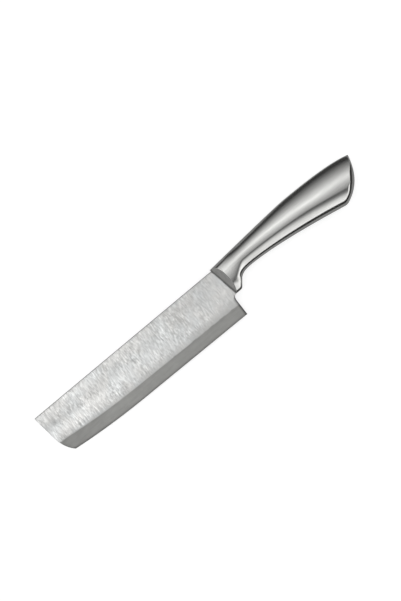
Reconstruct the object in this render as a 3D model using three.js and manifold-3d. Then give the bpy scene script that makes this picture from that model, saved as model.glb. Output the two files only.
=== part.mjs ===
// Vegetable knife: a stamped steel blade with a stub tang, a cast bolster, and a hollow handle of two
// pressed half shells welded together. Millimetres. The knife lies on its side: X runs from the tip to
// the butt, Y points to the spine and Z is the thickness. Until it is centred at the end, X starts at
// the top of the handle's front edge, Y at the blade's spine and Z in the middle plane.
import * as THREE from "three";
import { mergeVertices, toCreasedNormals } from "three/addons/utils/BufferGeometryUtils.js";
import Module from "manifold-3d";

const { clamp, degToRad, lerp, smoothstep } = THREE.MathUtils;

// Blade, with the tip's sizes taken from the tip and the heel's from the handle
const BLADE_LENGTH = 178;
const BLADE_THICKNESS = 2;
const SPINE_CHAMFER = 0.5;
const HEEL_HEIGHT = 43.4;
const HEEL_SETBACK = 0.65;
const HEEL_LEAN = 0.45;
const HEEL_NOTCH = 5;
const TIP_RISE = 5.2;
const TIP_SETBACK = 9.8;
const TIP_LEAN = 2.4;
const TIP_STRAIGHT = 22;
const TIP_CURVE_LEAN = 3.6;
const TIP_CURVE_START = 32;
const TIP_CORNER = 1;
const SWEEP_LENGTH = 67.7;
const SWEEP_TANGENT = 31.8;
const SWEEP_RISE = 1;
const BEVEL_HEEL = 10;
const BEVEL_TIP = 11.3;
const EDGE_BEVEL = 0.9;
const EDGE_BEVEL_THICKNESS = 0.5;
const EDGE_THICKNESS = 0.1;

// Tang, which passes through the bolster into the hollow handle
const TANG_DROP = 2.5;
const TANG_MARGIN = 2.2;
const TANG_TAIL = 18;
const TANG_CORNER = 3;
const TANG_WELD_LEG = 2.4;
const TANG_WELD_BULGE = 1.56;
const TANG_WELD_INSET = 1;

// Outline of the handle from the side: the back, the beak under the heel, the neck, the belly and the butt
const HANDLE_LENGTH = 139.3;
const SPINE_STEP = 1.3;
const FRONT_LEAN = 9.5;
const CROWN_X = 78.6;
const CROWN_RISE = 6.5;
const CROWN_TANGENT_FRONT = 11.6;
const CROWN_TANGENT_REAR = 44.4;
const BEAK_DEPTH = 25.7;
const BEAK_LENGTH = 5.9;
const BEAK_CORNER = 1.7;
const BEAK_SLOPE_LENGTH = 8;
const NECK_X = 26.8;
const NECK_DEPTH = 15.85;
const NECK_CORNER = 4.7;
const NECK_TANGENT = 26.8;
const POMMEL_SETBACK = 24.7;
const POMMEL_DEPTH = 28.2;
const POMMEL_CORNER = 2.4;
const BUTT_RISE = 1.4;
const BUTT_LEAN = 4.9;
const BUTT_CURVE_DEPTH = 20;
const BUTT_FLAT = 0.2;

// Section of the handle: half thicknesses from the middle plane, and widths seen from the side
const FRONT_HALF = 6.5;
const POMMEL_HALF = 9;
const SPINE_HALF_FRONT = 5.4;
const SPINE_HALF = 3;
const SPINE_TURN = 8;
const SPINE_TURN_LENGTH = 20;
const RIDGE_DROP_FRONT = 7.8;
const RIDGE_DROP_POMMEL = 14.6;
const CREASE_DEPTH = 18;
const CREASE_TURN = 8;
const CREASE_TURN_LENGTH = 18;
const CREASE_ANGLE = 10.7;
const FLANK_ANGLE = 24;
const FLANK_CURL = 0.33;
const FLANK_NECK = 6.7;
const FLANK_POMMEL = 9.7;
const RIM_ANGLE = 40;
const RIM_LAND = 0.5;
const RIM_BEAK = 1.6;
const RIM_NECK = 2.8;
const RIM_POMMEL = 3.7;
const BUTT_STRIP = 1;
const STRIP_TURN_LENGTH = 6;
const RIM_SPINE_FRONT = 2.8;
const RIM_SPINE = 1.3;
const FACET_ANGLE = 43;

// Walls, welds and fits
const WALL = 1.2;
const BUTT_WALL = 2.4;
const SEAM_WIDTH = 1.6;
const COLLAR_X = 19;
const COLLAR_WIDTH = 1.2;
const SPIGOT_LENGTH = 8;
const SPIGOT_CLEARANCE = 0.3;
const SLOT_CLEARANCE = 0.1;
const SHOULDER_CLEARANCE = 0.05;

const TIP_HEIGHT = HEEL_HEIGHT - TIP_RISE;
const SWEEP_HEIGHT = HEEL_HEIGHT - SWEEP_RISE;
const HALF_BLADE = BLADE_THICKNESS / 2;
const HALF_SEAM = SEAM_WIDTH / 2;
const COLLAR_FRONT = COLLAR_X - COLLAR_WIDTH / 2;
const COLLAR_BACK = COLLAR_X + COLLAR_WIDTH / 2;
const SPIGOT_END = COLLAR_X + SPIGOT_LENGTH;
const BUTT_END = HANDLE_LENGTH - BUTT_FLAT;
const POMMEL_X = HANDLE_LENGTH - POMMEL_SETBACK;
// Where the handle's sections, upright till here, start to fan round the butt
const FAN_START = POMMEL_X - 2 * POMMEL_CORNER;
// Where the strip beside the butt's rim has run out, and the rim starts to narrow to the spine's
const STRIP_END = POMMEL_X + 3 * STRIP_TURN_LENGTH;
const CREASE_SLOPE = Math.tan(degToRad(CREASE_ANGLE));
const FLANK_SLOPE = Math.tan(degToRad(FLANK_ANGLE));
const RIM_SLOPE = Math.tan(degToRad(RIM_ANGLE));
// Cutters reach past everything, and laps past the face that they cross
const REACH = BLADE_LENGTH + HANDLE_LENGTH;
const LAP = 1;

// How finely curves are stepped, and the angle past which an edge is shaded as a sharp one
const OUTSIDE = { flank: 5, dome: 12, beak: 16, grip: 18, fan: 28 };
const INSIDE = { flank: 2, dome: 5, beak: 6, grip: 8, fan: 8 };
const SWEEP_STEPS = 16;
const CURVE_STEPS = 8;
const HALVINGS = 40;
const CREASE_ROUNDS = 8;
const FAN_LAG = 3;
const HEADING_CHORD = 3;
const LEAST_SQUARE = 0.2;
const LEAST_STEP = 0.02;
const SHARP_ANGLE = 25;

const wasm = await Module();
wasm.setup();

function toSolid(geometry) {
  return new wasm.Manifold(new wasm.Mesh({
    numProp: 3,
    vertProperties: new Float32Array(geometry.attributes.position.array),
    triVerts: new Uint32Array(geometry.index.array),
  }));
}

function toGeometry(solid) {
  const { vertProperties, triVerts } = solid.getMesh();
  const geometry = new THREE.BufferGeometry();
  geometry.setAttribute("position", new THREE.BufferAttribute(vertProperties, 3));
  geometry.setIndex(new THREE.BufferAttribute(triVerts, 1));
  return toCreasedNormals(geometry, degToRad(SHARP_ANGLE));
}

function closed(geometry) {
  geometry.deleteAttribute("normal");
  geometry.deleteAttribute("uv");
  return mergeVertices(geometry);
}

// A skin over sections. Each section is half a profile, from its lowest point to its highest, and its
// mirror image in the middle plane closes it, so the two ends are strips.
function loft(sections) {
  const count = sections[0].length;
  const ring = 2 * count;
  const positions = [];
  const triangles = [];
  const quad = (a, b, c, d) => triangles.push(a, b, c, a, c, d);
  for (const section of sections) {
    section.forEach(([x, y, z]) => positions.push(x, y, z));
    section.toReversed().forEach(([x, y, z]) => positions.push(x, y, -z));
  }
  for (let i = 0; i < sections.length - 1; i += 1) {
    const here = i * ring;
    const there = here + ring;
    for (let j = 0; j < ring; j += 1) {
      const k = (j + 1) % ring;
      quad(here + j, there + j, there + k, here + k);
    }
  }
  const last = (sections.length - 1) * ring;
  for (let j = 0; j < count - 1; j += 1) {
    const k = ring - 1 - j;
    quad(j, j + 1, k - 1, k);
    quad(last + k, last + k - 1, last + j + 1, last + j);
  }
  const geometry = new THREE.BufferGeometry();
  geometry.setAttribute("position", new THREE.Float32BufferAttribute(positions, 3));
  geometry.setIndex(triangles);
  return toSolid(geometry);
}

function block(low, high) {
  const size = new THREE.Vector3().subVectors(high, low);
  const middle = new THREE.Vector3().addVectors(low, high).multiplyScalar(0.5);
  const geometry = new THREE.BoxGeometry(size.x, size.y, size.z);
  return toSolid(closed(geometry.translate(middle.x, middle.y, middle.z)));
}

function sliceX(from, to) {
  return block(new THREE.Vector3(from, -REACH, -REACH), new THREE.Vector3(to, REACH, REACH));
}

function sliceZ(from, to) {
  return block(new THREE.Vector3(-REACH, -REACH, from), new THREE.Vector3(REACH, REACH, to));
}

function spaced(from, to, steps) {
  return Array.from({ length: steps }, (_, i) => lerp(from, to, i / steps));
}

// Outline curves run from the front to the butt, so each X meets one point of them, a share of the way along
function shareAt(curve, x) {
  let low = 0;
  let high = 1;
  for (let step = 0; step < HALVINGS; step += 1) {
    const middle = (low + high) / 2;
    if (curve.getPoint(middle).x < x) low = middle;
    else high = middle;
  }
  return high;
}

function heightAt(path, x) {
  const curve = path.curves.find((piece) => x <= piece.getPoint(1).x) ?? path.curves.at(-1);
  return curve.getPoint(shareAt(curve, x)).y;
}

function towards(from, to, distance) {
  return to.clone().sub(from).setLength(distance).add(from);
}

// The handle's front edge leans back from the spine to the beak
function frontX(y) {
  return (SPINE_STEP - y) * Math.tan(degToRad(FRONT_LEAN));
}

function backCurve() {
  const path = new THREE.Path();
  path.moveTo(0, SPINE_STEP);
  path.quadraticCurveTo(CROWN_X - CROWN_TANGENT_FRONT, CROWN_RISE, CROWN_X, CROWN_RISE);
  path.quadraticCurveTo(CROWN_X + CROWN_TANGENT_REAR, CROWN_RISE, HANDLE_LENGTH, BUTT_RISE);
  return path;
}

const BEAK_FRONT = frontX(-BEAK_DEPTH);
const BEAK_BACK = BEAK_FRONT + BEAK_LENGTH;

// Beak, the rise behind it, the neck, the belly, the rounded corner of the pommel and the butt
function bellyCurve() {
  const beak = new THREE.Vector2(BEAK_BACK, -BEAK_DEPTH);
  const slopeTop = new THREE.Vector2(BEAK_BACK + BEAK_SLOPE_LENGTH, -NECK_DEPTH);
  const neckControl = new THREE.Vector2(NECK_X + NECK_TANGENT, -NECK_DEPTH);
  const pommel = new THREE.Vector2(POMMEL_X, -POMMEL_DEPTH);
  const buttControl = new THREE.Vector2(HANDLE_LENGTH - BUTT_LEAN, -BUTT_CURVE_DEPTH);
  const afterBeak = towards(beak, slopeTop, BEAK_CORNER);
  const beforeNeck = towards(slopeTop, beak, NECK_CORNER);
  const beforePommel = towards(pommel, neckControl, POMMEL_CORNER);
  const afterPommel = towards(pommel, buttControl, POMMEL_CORNER);
  const path = new THREE.Path();
  path.moveTo(BEAK_FRONT, beak.y);
  path.lineTo(beak.x - BEAK_CORNER, beak.y);
  path.quadraticCurveTo(beak.x, beak.y, afterBeak.x, afterBeak.y);
  path.lineTo(beforeNeck.x, beforeNeck.y);
  path.quadraticCurveTo(slopeTop.x, slopeTop.y, NECK_X, -NECK_DEPTH);
  path.quadraticCurveTo(neckControl.x, neckControl.y, beforePommel.x, beforePommel.y);
  path.quadraticCurveTo(pommel.x, pommel.y, afterPommel.x, afterPommel.y);
  path.quadraticCurveTo(buttControl.x, buttControl.y, HANDLE_LENGTH, BUTT_RISE);
  return path;
}

const BACK = backCurve();
const BELLY = bellyCurve();
// The belly ends where the pommel's round corner starts, heading straight for the corner
const BELLY_END = BELLY.curves.at(-3).getPoint(1).x;
const BELLY_FALL = (NECK_DEPTH - POMMEL_DEPTH) / (POMMEL_X - NECK_X - NECK_TANGENT);

// How far the handle has swelled at X, from 0 at the neck to 1 at the pommel
function swell(x) {
  return smoothstep(x, NECK_X, POMMEL_X);
}

// How far the spine has turned from the bolster's broad, flat top to the grip's narrow one
function spineTurn(x) {
  return smoothstep(x, SPINE_TURN, SPINE_TURN + SPINE_TURN_LENGTH);
}

function spineRim(x) {
  return lerp(RIM_SPINE_FRONT, RIM_SPINE, spineTurn(x));
}

function bellyRim(x) {
  const front = lerp(RIM_BEAK, RIM_NECK, smoothstep(x, BEAK_BACK, BEAK_BACK + BEAK_SLOPE_LENGTH));
  const grip = lerp(front, RIM_POMMEL, swell(x));
  return lerp(grip, RIM_SPINE, smoothstep(x, STRIP_END, BUTT_END));
}

// The strip beside the rim that the flank runs out into, past the pommel's corner
function buttStrip(x) {
  const grown = smoothstep(x, POMMEL_X, POMMEL_X + STRIP_TURN_LENGTH);
  return BUTT_STRIP * grown * (1 - smoothstep(x, STRIP_END - STRIP_TURN_LENGTH, STRIP_END));
}

function flankWidth(x) {
  return lerp(FLANK_NECK, FLANK_POMMEL, swell(x));
}

// The crease rises behind the beak in a slower curve than the belly does, draws away from the belly along
// the grip, and past the pommel runs straight on to the butt
function creaseY(x) {
  const past = Math.max(x - BELLY_END, 0);
  const belly = heightAt(BELLY, clamp(x, NECK_X, BELLY_END)) + BELLY_FALL * past;
  const risen = smoothstep(x, CREASE_TURN, CREASE_TURN + CREASE_TURN_LENGTH);
  return lerp(-CREASE_DEPTH, belly + flankWidth(x), risen);
}

// The side's half thickness without its rims: a ridge that swells towards the pommel, from it a parabola
// to the spine and a flatter one to the crease, and below that a flank that falls ever more steeply
function sideHalf(x, y) {
  const back = heightAt(BACK, x);
  const ridge = back - lerp(RIDGE_DROP_FRONT, RIDGE_DROP_POMMEL, swell(x));
  const peak = lerp(FRONT_HALF, POMMEL_HALF, swell(x));
  if (y > ridge) {
    const fall = peak - lerp(SPINE_HALF_FRONT, SPINE_HALF, spineTurn(x));
    return peak - fall * ((y - ridge) / (back - spineRim(x) - ridge)) ** 2;
  }
  const crease = creaseY(x);
  const span = ridge - crease;
  if (y > crease) return peak - (CREASE_SLOPE / 2) * ((ridge - y) ** 2 / span);
  const below = crease - y;
  const curl = FLANK_CURL * swell(x);
  const curled = lerp(1 - curl, 1, below / (flankWidth(x) - bellyRim(x)));
  return peak - (CREASE_SLOPE / 2) * span - FLANK_SLOPE * below * curled;
}

// The half thickness in a rim and the strip beside it: the strip's slope down to the fold, a steeper one from
// there, and a still steeper land down to the seam. Past the strip it sets no limit.
function rimHalf(distance, width, fold, strip) {
  if (distance > width + strip) return Infinity;
  if (distance > width) return fold + FLANK_SLOPE * (distance - width);
  const knee = fold - RIM_SLOPE * (1 - RIM_LAND) * width;
  const land = lerp(HALF_SEAM, knee, distance / (RIM_LAND * width));
  return Math.min(land, fold - RIM_SLOPE * (width - distance));
}

// Square to the belly's outline at X, over a chord so that it turns smoothly round the corners
function inwardAt(x) {
  const share = shareAt(BELLY, x);
  const reach = HEADING_CHORD / 2 / BELLY.getLength();
  const behind = BELLY.getPoint(Math.max(share - reach, 0));
  const ahead = BELLY.getPoint(Math.min(share + reach, 1));
  return new THREE.Vector2(behind.y - ahead.y, ahead.x - behind.x).normalize();
}

// How far along a line from a point on the belly the crease is met
function creaseAlong(low, way) {
  let along = 0;
  for (let round = 0; round < CREASE_ROUNDS; round += 1) {
    along = (creaseY(low.x + way.x * along) - low.y) / way.y;
  }
  return along;
}

// Half a section of the handle on a line from the belly's seam to the spine's, set in by a distance: the
// belly's rim, the flank, the dome and the spine's rim
function handleSection(lowX, highX, inset, detail) {
  const low = new THREE.Vector2(lowX, heightAt(BELLY, lowX));
  const high = new THREE.Vector2(highX, heightAt(BACK, highX));
  const length = low.distanceTo(high);
  const way = high.clone().sub(low).normalize();
  const square = Math.max(way.dot(inwardAt(lowX)), LEAST_SQUARE);
  const lowRim = bellyRim(lowX);
  const highRim = spineRim(highX);
  const strip = buttStrip(lowX);
  const stripEnd = (lowRim + strip) / square;
  const stripTop = low.clone().addScaledVector(way, stripEnd);
  const lowFold = sideHalf(stripTop.x, stripTop.y) - FLANK_SLOPE * strip;
  const highFold = sideHalf(high.x, high.y - highRim);

  const bottom = inset / square;
  const top = length - inset / way.y;
  const least = LEAST_STEP * length;
  const lowEnd = clamp(lowRim / square, bottom + least, length / 3);
  const creaseEnd = clamp(Math.max(creaseAlong(low, way), stripEnd), lowEnd + least, length / 2);
  const highEnd = clamp(length - highRim / way.y, creaseEnd + least, top - least);
  const places = [
    bottom,
    lerp(bottom, lowEnd, RIM_LAND),
    ...spaced(lowEnd, creaseEnd, detail.flank),
    ...spaced(creaseEnd, highEnd, detail.dome),
    highEnd,
    lerp(top, highEnd, RIM_LAND),
    top,
  ];
  return places.map((place) => {
    const point = low.clone().addScaledVector(way, place);
    const fromBelly = place * square - inset;
    const fromSpine = (length - place) * way.y - inset;
    const half = Math.min(
      sideHalf(point.x, point.y) - inset,
      rimHalf(fromBelly, lowRim, lowFold, strip),
      rimHalf(fromSpine, highRim, highFold, 0),
    );
    return [point.x, point.y, Math.max(half, HALF_SEAM)];
  });
}

// The handle's whole form, set in by a distance, between two places along it. Round the butt the lower ends
// of the sections go along the outline at even steps, and the upper ends follow, slowly at first.
function handleForm(inset, from, to, detail) {
  const upright = [
    ...spaced(BEAK_BACK - BEAK_CORNER, NECK_X, detail.beak),
    ...spaced(NECK_X, FAN_START, detail.grip),
  ];
  const grip = [from, ...upright.filter((x) => x > from && x < to)].map((x) => [x, x]);
  const start = shareAt(BELLY, FAN_START);
  const end = shareAt(BELLY, to);
  const fanned = (share) => [
    BELLY.getPoint(lerp(start, end, share)).x,
    lerp(FAN_START, to, share ** FAN_LAG),
  ];
  const fan = to > FAN_START ? spaced(0, 1, detail.fan).map(fanned) : [];
  const stations = [...grip, ...fan, [to, to]];
  return loft(stations.map(([lowX, highX]) => handleSection(lowX, highX, inset, detail)));
}

const OUTER_FORM = handleForm(0, -LAP, BUTT_END, OUTSIDE);
const CAVITY = handleForm(WALL, COLLAR_FRONT - LAP, BUTT_END - BUTT_WALL, INSIDE);
const CASING = OUTER_FORM.subtract(CAVITY);

// The tang is as tall as the cavity leaves room for at the end of the spigot
const TANG_TOP = -TANG_DROP;
const TANG_BOTTOM = heightAt(BELLY, SPIGOT_END) + WALL + SPIGOT_CLEARANCE + TANG_MARGIN;
const TANG_END = SPIGOT_END + TANG_TAIL;

// The cutting edge: straight from the heel, then swept up to the lower corner of the tip
function edgeCurve() {
  const corner = new THREE.Vector2(TIP_SETBACK - BLADE_LENGTH, -TIP_HEIGHT);
  const start = new THREE.Vector2(corner.x + SWEEP_LENGTH, -SWEEP_HEIGHT);
  const slope = (HEEL_HEIGHT - SWEEP_HEIGHT) / (HEEL_SETBACK - start.x);
  const straightAt = (x) => -SWEEP_HEIGHT - slope * (x - start.x);
  const tangentX = corner.x + SWEEP_TANGENT;
  const tangent = new THREE.Vector2(tangentX, straightAt(tangentX));
  const sweep = new THREE.QuadraticBezierCurve(corner, tangent, start);
  const beyond = towards(corner, tangent, -2 * TIP_SETBACK);
  const end = new THREE.Vector2(TANG_END + LAP, straightAt(TANG_END + LAP));
  return [beyond, ...sweep.getPoints(SWEEP_STEPS), end];
}

// A bar ground to the blade's section: flat sides, a broad bevel on each, and a fine edge bevel
function groundBar() {
  const edge = edgeCurve();
  const tipX = -BLADE_LENGTH;
  return loft(edge.map(({ x, y }) => {
    const bevel = lerp(BEVEL_TIP, BEVEL_HEEL, clamp((x - tipX) / BLADE_LENGTH, 0, 1));
    return [
      [x, y, EDGE_THICKNESS / 2],
      [x, y + EDGE_BEVEL, EDGE_BEVEL_THICKNESS / 2],
      [x, y + bevel, HALF_BLADE],
      [x, -SPINE_CHAMFER, HALF_BLADE],
      [x, 0, HALF_BLADE - SPINE_CHAMFER],
    ];
  }));
}

// The blank that the blade is stamped to, with spare height below the edge for the grinding
function blankOutline() {
  const tipX = -BLADE_LENGTH;
  const spare = HEEL_HEIGHT + EDGE_BEVEL;
  const curve = new THREE.Vector2(tipX + TIP_CURVE_LEAN, -TIP_CURVE_START);
  const corner = new THREE.Vector2(tipX + TIP_SETBACK, -TIP_HEIGHT);
  const below = towards(corner, curve, -spare / 2);
  const shoulderX = (y) => frontX(y) - SHOULDER_CLEARANCE;
  const shape = new THREE.Shape();
  shape.moveTo(tipX + TIP_CORNER, LAP);
  shape.lineTo(tipX + TIP_CORNER, 0);
  shape.quadraticCurveTo(tipX, 0, tipX + TIP_LEAN * (TIP_CORNER / TIP_STRAIGHT), -TIP_CORNER);
  shape.lineTo(tipX + TIP_LEAN, -TIP_STRAIGHT);
  shape.quadraticCurveTo(curve.x, curve.y, corner.x, corner.y);
  shape.lineTo(below.x, below.y);
  shape.lineTo(HEEL_SETBACK, below.y);
  shape.lineTo(HEEL_SETBACK, -HEEL_HEIGHT);
  shape.lineTo(HEEL_SETBACK + HEEL_LEAN, -BEAK_DEPTH - HEEL_NOTCH);
  shape.quadraticCurveTo(HEEL_SETBACK + HEEL_LEAN, -BEAK_DEPTH, shoulderX(-BEAK_DEPTH), -BEAK_DEPTH);
  shape.lineTo(shoulderX(TANG_BOTTOM), TANG_BOTTOM);
  shape.lineTo(TANG_END - TANG_CORNER, TANG_BOTTOM);
  shape.quadraticCurveTo(TANG_END, TANG_BOTTOM, TANG_END, TANG_BOTTOM + TANG_CORNER);
  shape.lineTo(TANG_END, TANG_TOP - TANG_CORNER);
  shape.quadraticCurveTo(TANG_END, TANG_TOP, TANG_END - TANG_CORNER, TANG_TOP);
  shape.lineTo(shoulderX(TANG_TOP), TANG_TOP);
  shape.lineTo(shoulderX(0), 0);
  shape.lineTo(shoulderX(0), LAP);
  return shape;
}

function bladeSolid() {
  const depth = 2 * BLADE_THICKNESS;
  const options = { depth, bevelEnabled: false, curveSegments: CURVE_STEPS };
  const blank = new THREE.ExtrudeGeometry(blankOutline(), options).translate(0, 0, -depth / 2);
  return toSolid(closed(blank)).intersect(groundBar());
}

// All that lies in front of the two slanted faces, which meet the blade's sides along the front edge
function facetCutter() {
  const run = (REACH - HALF_BLADE) / Math.tan(degToRad(FACET_ANGLE));
  const shape = new THREE.Shape([
    new THREE.Vector2(-REACH, REACH),
    new THREE.Vector2(-REACH, -REACH),
    new THREE.Vector2(run, -REACH),
    new THREE.Vector2(0, -HALF_BLADE),
    new THREE.Vector2(0, HALF_BLADE),
    new THREE.Vector2(run, REACH),
  ]);
  const lean = degToRad(FRONT_LEAN);
  const backwards = new THREE.Vector3(Math.cos(lean), Math.sin(lean), 0);
  const down = new THREE.Vector3(Math.sin(lean), -Math.cos(lean), 0);
  const place = new THREE.Matrix4().makeBasis(backwards, new THREE.Vector3(0, 0, 1), down);
  place.setPosition(new THREE.Vector3(0, SPINE_STEP, 0).addScaledVector(down, -REACH));
  const cutter = new THREE.ExtrudeGeometry(shape, { depth: 2 * REACH, bevelEnabled: false });
  return toSolid(closed(cutter.applyMatrix4(place)));
}

// A casting with the slanted faces and the beak in front and a spigot behind, slotted for the tang
function bolsterSolid() {
  const head = OUTER_FORM.intersect(sliceX(-REACH, COLLAR_FRONT));
  const spigot = handleForm(WALL + SPIGOT_CLEARANCE, COLLAR_FRONT - LAP, SPIGOT_END, INSIDE);
  const slot = block(
    new THREE.Vector3(-REACH, TANG_BOTTOM - SLOT_CLEARANCE, -HALF_BLADE - SLOT_CLEARANCE),
    new THREE.Vector3(REACH, TANG_TOP + SLOT_CLEARANCE, HALF_BLADE + SLOT_CLEARANCE),
  );
  return head.add(spigot).subtract(facetCutter()).subtract(slot);
}

// The welds fill what the shells leave open: a seam round the middle plane and a collar behind the bolster
function shellSolid(sliceOfSide) {
  return CASING.intersect(sliceX(COLLAR_BACK, REACH)).intersect(sliceOfSide);
}

function seamSolid() {
  return CASING.intersect(sliceX(COLLAR_BACK, REACH)).intersect(sliceZ(-HALF_SEAM, HALF_SEAM));
}

function collarSolid() {
  return CASING.intersect(sliceX(COLLAR_FRONT, COLLAR_BACK));
}

// A fillet bead in the corner between the spigot's end and one side of the tang
function tangWeldSolid(side) {
  const foot = side * HALF_BLADE;
  const crown = side * (HALF_BLADE + TANG_WELD_LEG);
  const shape = new THREE.Shape();
  shape.moveTo(SPIGOT_END, foot);
  shape.lineTo(SPIGOT_END + TANG_WELD_LEG, foot);
  const bulge = side * (HALF_BLADE + TANG_WELD_BULGE);
  shape.quadraticCurveTo(SPIGOT_END + TANG_WELD_BULGE, bulge, SPIGOT_END, crown);
  const depth = TANG_TOP - TANG_BOTTOM - 2 * TANG_WELD_INSET;
  const options = { depth, bevelEnabled: false, curveSegments: CURVE_STEPS };
  const bead = new THREE.ExtrudeGeometry(shape, options);
  bead.rotateX(Math.PI / 2).translate(0, TANG_TOP - TANG_WELD_INSET, 0);
  return toSolid(closed(bead));
}

const satinBlade = new THREE.MeshStandardMaterial({ color: 0xd2d3d1, roughness: 0.38, metalness: 1 });
const castSteel = new THREE.MeshStandardMaterial({ color: 0xaeb0ad, roughness: 0.32, metalness: 1 });
const polishedSteel = new THREE.MeshStandardMaterial({ color: 0xcfd0cd, roughness: 0.2, metalness: 1 });
const groundWeld = new THREE.MeshStandardMaterial({ color: 0xb9bab7, roughness: 0.34, metalness: 1 });
const rawWeld = new THREE.MeshStandardMaterial({ color: 0x86837d, roughness: 0.55, metalness: 1 });

const pieces = [
  ["blade", bladeSolid(), satinBlade],
  ["bolster", bolsterSolid(), castSteel],
  ["handle_shell_left", shellSolid(sliceZ(HALF_SEAM, REACH)), polishedSteel],
  ["handle_shell_right", shellSolid(sliceZ(-REACH, -HALF_SEAM)), polishedSteel],
  ["seam_weld", seamSolid(), groundWeld],
  ["collar_weld", collarSolid(), groundWeld],
  ["tang_weld_left", tangWeldSolid(1), rawWeld],
  ["tang_weld_right", tangWeldSolid(-1), rawWeld],
];

const knife = new THREE.Group();
for (const [name, solid, material] of pieces) {
  const mesh = new THREE.Mesh(toGeometry(solid), material);
  mesh.name = name;
  knife.add(mesh);
}

// The origin is the middle of the surface that the knife lies on
const box = new THREE.Box3().setFromObject(knife);
const middle = box.getCenter(new THREE.Vector3());
knife.position.set(-middle.x, -middle.y, -box.min.z);

export default knife;
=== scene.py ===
import bpy
import numpy as np
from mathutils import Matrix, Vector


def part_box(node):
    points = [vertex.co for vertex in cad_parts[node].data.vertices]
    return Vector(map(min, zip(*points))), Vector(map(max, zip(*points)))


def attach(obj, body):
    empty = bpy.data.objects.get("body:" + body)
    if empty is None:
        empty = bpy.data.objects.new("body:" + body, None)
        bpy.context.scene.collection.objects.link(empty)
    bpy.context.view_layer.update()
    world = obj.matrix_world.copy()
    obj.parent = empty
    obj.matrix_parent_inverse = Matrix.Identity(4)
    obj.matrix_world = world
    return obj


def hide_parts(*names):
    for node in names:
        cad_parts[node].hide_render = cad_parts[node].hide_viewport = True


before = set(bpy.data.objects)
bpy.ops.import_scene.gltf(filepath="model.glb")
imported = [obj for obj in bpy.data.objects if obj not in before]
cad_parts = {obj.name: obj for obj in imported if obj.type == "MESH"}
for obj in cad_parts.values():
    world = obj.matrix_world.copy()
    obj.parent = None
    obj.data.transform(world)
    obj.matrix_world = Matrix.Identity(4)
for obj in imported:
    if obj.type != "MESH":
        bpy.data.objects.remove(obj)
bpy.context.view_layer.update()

# Blade
# One stamping of stainless sheet, with a stub tang that passes through the bolster into the handle. The
# flat sides are linished across, then each is ground to a broad satin bevel and a fine cutting edge.
MM = 0.001
HANDLE_LENGTH = 139.3
BUTT_FLAT = 0.2
BUTT_END = HANDLE_LENGTH - BUTT_FLAT
blade_low, blade_high = (np.array(corner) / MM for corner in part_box("blade"))
shell_low, shell_high = (np.array(corner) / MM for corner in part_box("handle_shell_left"))

# Shapes are in millimetres from the top of the handle's front edge, the spine and the middle plane
start = np.array([shell_high[0] - BUTT_END, blade_high[1], (blade_low[2] + blade_high[2]) / 2])
HEEL_HEIGHT = blade_high[1] - blade_low[1]
HALF_BLADE = (blade_high[2] - blade_low[2]) / 2
BLADE_LENGTH = 178.0
HEEL_SETBACK = 0.65
HEEL_LEAN = 0.45
HEEL_NOTCH = 5.0
TIP_RISE = 5.2
TIP_SETBACK = 9.8
TIP_LEAN = 2.4
TIP_STRAIGHT = 22.0
TIP_CURVE_LEAN = 3.6
TIP_CURVE_START = 32.0
TIP_CORNER = 1.0
SWEEP_LENGTH = 67.7
SWEEP_TANGENT = 31.8
SWEEP_RISE = 1.0
BEVEL_HEEL = 10.0
BEVEL_TIP = 11.3
FINE_BEVEL = 0.9
FINE_HALF = 0.25
EDGE_HALF = 0.05
SPINE_STEP = 1.3
FRONT_LEAN = np.tan(np.radians(9.5))
BEAK_DEPTH = 25.7
SHOULDER_CLEARANCE = 0.05
TANG_TOP = -2.5
TANG_BOTTOM = -12.15
TANG_END = blade_high[0] - start[0]
TANG_CORNER = 3.0
TANG_ROOT = 0.15
SPINE_ROUND = 0.7
RIM_ROUND = 0.5
MOST_ROUND = 0.8
BEVEL_SOFT = 0.25
FINE_SOFT = 0.07
HEEL_BLEND = -6.0
SHARP = np.radians(35)
TINY = 1e-9
CLOSE = 1e-6
NOTCH_TURN = -28.0
# Painted shade near the blade's outline: at the heel's rear edge and in front of the bolster; a little
# darker along the spine
REAR_SHADE = (0.4, 2.2, 0.3, 1)
FRONT_SHADE = (0.1, 0.9, 0.5, 1)
SPINE_SHADE = (0.5, 1.8, 0.85, 1)
POLISH_HEEL = 8.5
POLISH_TIP = 0.5
POLISH_DARK = 0.13
# Ground lightness at the heel and at the tip: the rise towards the tip is a painted reflection
LIGHT_HEEL = 0.53
LIGHT_TIP = 0.64
TIP_DARK = 0.1
# Painted reflection in bands along the blade towards the tip
BAND_WIDTH = 17.0
BAND_START = 3.0
BAND_REFLECTION = 0.085
STREAK_LIGHT = 0.28
NOISE_RANGE = (0.3, 0.7)
NOISE_ROUGHNESS = 0.6
BLACK = (0, 0, 0)


def smoothstep(low, high, value):
    """0 below low, 1 above high, and between them the S of 3s² - 2s³."""
    share = np.clip((value - low) / (high - low), 0, 1)
    return share * share * (3 - 2 * share)


def lerp(first, last, share):
    """The value that lies a share of the way from the first to the last."""
    return first + (last - first) * share


def bezier(first, control, last, share):
    """One coordinate of a quadratic curve at a share of the way along it."""
    return (1 - share) ** 2 * first + 2 * share * (1 - share) * control + share**2 * last


def bezier_share(first, control, last, value):
    """How far along a quadratic curve one of its coordinates reaches a value: the root of a quadratic,
    in the form that also holds where the curve is nearly even."""
    bend = first - 2 * control + last
    rise = 2 * (control - first)
    gap = np.where(np.abs(value - first) < TINY, np.sign(last - first) * TINY, value - first)
    root = np.sqrt(np.maximum(rise**2 + 4 * bend * gap, 0))
    return np.clip(2 * gap / (rise + np.copysign(root, last - first)), 0, 1)


def front_edge(y):
    """x of the handle's front edge, which leans back from the spine to the beak."""
    return (SPINE_STEP - y) * FRONT_LEAN


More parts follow.
